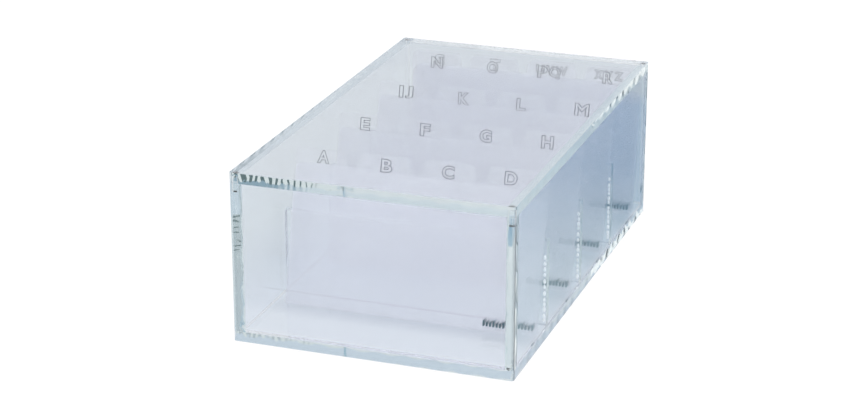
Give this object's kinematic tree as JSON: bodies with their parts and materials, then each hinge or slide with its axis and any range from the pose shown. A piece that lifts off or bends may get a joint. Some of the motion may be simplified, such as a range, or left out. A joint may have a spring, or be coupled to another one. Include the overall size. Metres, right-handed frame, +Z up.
{
  "type": "card index box",
  "caption": "Clear acrylic card index box with a lift-off lid, low partitions and leaning translucent divider sheets with staggered alphabet tabs.",
  "frame": {"origin": "centre of the footprint, on the underside of the base plate", "axes": "+X to the right as the tabs read, -Y towards the front, where the A tab is, +Z up"},
  "size_m": [0.111, 0.1886, 0.0675],
  "materials": {
    "clear_box": "polished clear cast acrylic with polished edges",
    "clear_lid": "polished clear cast acrylic with polished edges",
    "clear_partition": "polished clear acrylic with saw-marked ends",
    "clear_pins": "polished clear acrylic rod",
    "divider_film": "translucent bluish plastic sheet, satin"
  },
  "bodies": {
    "box": {"base_plate": "clear_box", "front_wall": "clear_box", "back_wall": "clear_box", "left_wall": "clear_box", "right_wall": "clear_box", "partition_1": "clear_partition", "partition_2": "clear_partition", "partition_3": "clear_partition", "locating_pins": "clear_pins"},
    "lid": {"lid_plate": "clear_lid"},
    "divider_d": {"divider_d": "divider_film"},
    "divider_c": {"divider_c": "divider_film"},
    "divider_b": {"divider_b": "divider_film"},
    "divider_a": {"divider_a": "divider_film"},
    "divider_h": {"divider_h": "divider_film"},
    "divider_g": {"divider_g": "divider_film"},
    "divider_f": {"divider_f": "divider_film"},
    "divider_e": {"divider_e": "divider_film"},
    "divider_m": {"divider_m": "divider_film"},
    "divider_l": {"divider_l": "divider_film"},
    "divider_k": {"divider_k": "divider_film"},
    "divider_ij": {"divider_ij": "divider_film"},
    "divider_xyz": {"divider_xyz": "divider_film"},
    "divider_uvw": {"divider_uvw": "divider_film"},
    "divider_t": {"divider_t": "divider_film"},
    "divider_s": {"divider_s": "divider_film"},
    "divider_r": {"divider_r": "divider_film"},
    "divider_pq": {"divider_pq": "divider_film"},
    "divider_o": {"divider_o": "divider_film"},
    "divider_n": {"divider_n": "divider_film"}
  },
  "joints": [
    {"name": "lid_lift", "type": "slide", "parent": "box", "child": "lid", "axis": [0, 0, 1], "range_m": [0, 0.08]},
    {"name": "divider_d_tilt", "type": "hinge", "parent": "box", "child": "divider_d", "pos_m": [0, -0.06233, 0.004], "axis": [1, 0, 0], "range_deg": [0, 9]},
    {"name": "divider_c_tilt", "type": "hinge", "parent": "divider_d", "child": "divider_c", "pos_m": [0, -0.06233, 0.004], "axis": [1, 0, 0], "range_deg": [0, 9]},
    {"name": "divider_b_tilt", "type": "hinge", "parent": "divider_c", "child": "divider_b", "pos_m": [0, -0.06233, 0.004], "axis": [1, 0, 0], "range_deg": [0, 9]},
    {"name": "divider_a_tilt", "type": "hinge", "parent": "divider_b", "child": "divider_a", "pos_m": [0, -0.06233, 0.004], "axis": [1, 0, 0], "range_deg": [0, 9]},
    {"name": "divider_h_tilt", "type": "hinge", "parent": "box", "child": "divider_h", "pos_m": [0, -0.01703, 0.004], "axis": [1, 0, 0], "range_deg": [0, 9]},
    {"name": "divider_g_tilt", "type": "hinge", "parent": "divider_h", "child": "divider_g", "pos_m": [0, -0.01703, 0.004], "axis": [1, 0, 0], "range_deg": [0, 9]},
    {"name": "divider_f_tilt", "type": "hinge", "parent": "divider_g", "child": "divider_f", "pos_m": [0, -0.01703, 0.004], "axis": [1, 0, 0], "range_deg": [0, 9]},
    {"name": "divider_e_tilt", "type": "hinge", "parent": "divider_f", "child": "divider_e", "pos_m": [0, -0.01703, 0.004], "axis": [1, 0, 0], "range_deg": [0, 9]},
    {"name": "divider_m_tilt", "type": "hinge", "parent": "box", "child": "divider_m", "pos_m": [0, 0.02827, 0.004], "axis": [1, 0, 0], "range_deg": [0, 9]},
    {"name": "divider_l_tilt", "type": "hinge", "parent": "divider_m", "child": "divider_l", "pos_m": [0, 0.02827, 0.004], "axis": [1, 0, 0], "range_deg": [0, 9]},
    {"name": "divider_k_tilt", "type": "hinge", "parent": "divider_l", "child": "divider_k", "pos_m": [0, 0.02827, 0.004], "axis": [1, 0, 0], "range_deg": [0, 9]},
    {"name": "divider_ij_tilt", "type": "hinge", "parent": "divider_k", "child": "divider_ij", "pos_m": [0, 0.02827, 0.004], "axis": [1, 0, 0], "range_deg": [0, 9]},
    {"name": "divider_xyz_tilt", "type": "hinge", "parent": "box", "child": "divider_xyz", "pos_m": [0, 0.07502, 0.004], "axis": [1, 0, 0], "range_deg": [0, 1.5]},
    {"name": "divider_uvw_tilt", "type": "hinge", "parent": "divider_xyz", "child": "divider_uvw", "pos_m": [0, 0.07502, 0.004], "axis": [1, 0, 0], "range_deg": [0, 1.5]},
    {"name": "divider_t_tilt", "type": "hinge", "parent": "divider_uvw", "child": "divider_t", "pos_m": [0, 0.07502, 0.004], "axis": [1, 0, 0], "range_deg": [0, 1.5]},
    {"name": "divider_s_tilt", "type": "hinge", "parent": "divider_t", "child": "divider_s", "pos_m": [0, 0.07502, 0.004], "axis": [1, 0, 0], "range_deg": [0, 1.5]},
    {"name": "divider_r_tilt", "type": "hinge", "parent": "divider_s", "child": "divider_r", "pos_m": [0, 0.07502, 0.004], "axis": [1, 0, 0], "range_deg": [0, 7.5]},
    {"name": "divider_pq_tilt", "type": "hinge", "parent": "divider_r", "child": "divider_pq", "pos_m": [0, 0.07502, 0.004], "axis": [1, 0, 0], "range_deg": [0, 7.5]},
    {"name": "divider_o_tilt", "type": "hinge", "parent": "divider_pq", "child": "divider_o", "pos_m": [0, 0.07502, 0.004], "axis": [1, 0, 0], "range_deg": [0, 7.5]},
    {"name": "divider_n_tilt", "type": "hinge", "parent": "divider_o", "child": "divider_n", "pos_m": [0, 0.07502, 0.004], "axis": [1, 0, 0], "range_deg": [0, 7.5]}
  ]
}
